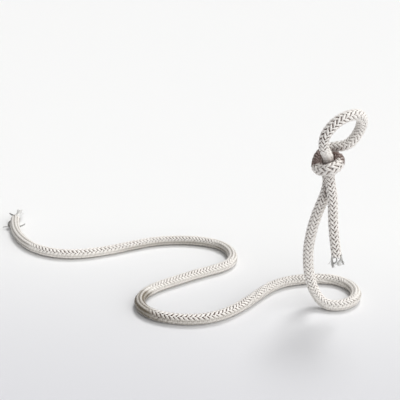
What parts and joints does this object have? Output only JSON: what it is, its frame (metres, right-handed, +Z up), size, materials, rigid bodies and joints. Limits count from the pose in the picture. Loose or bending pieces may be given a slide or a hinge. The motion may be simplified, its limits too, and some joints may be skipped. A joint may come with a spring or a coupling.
{
  "type": "rope bottle holder",
  "caption": "Braided rope stiffened by a rod, bent into two bays and a loop on the table and a riser that ends in a knotted noose.",
  "frame": {"origin": "middle of the holder's footprint on the table, without the hanging tail", "axes": "+X along the holder's length, from the frayed end's side to the riser's side; +Y away from the viewer; +Z up"},
  "size_m": [0.4113, 0.2754, 0.2109],
  "materials": {
    "nylon_rope": "braided nylon, off-white with a slight sheen",
    "loose_yarn": "frayed nylon yarn, crimped and slightly see-through",
    "steel_rod": "bright drawn"
  },
  "bodies": {
    "root": {"rope": "nylon_rope", "steel_rod": "steel_rod", "rope_tail": "nylon_rope", "floor_end_yarns": "loose_yarn", "tail_end_yarns": "loose_yarn"}
  },
  "joints": []
}
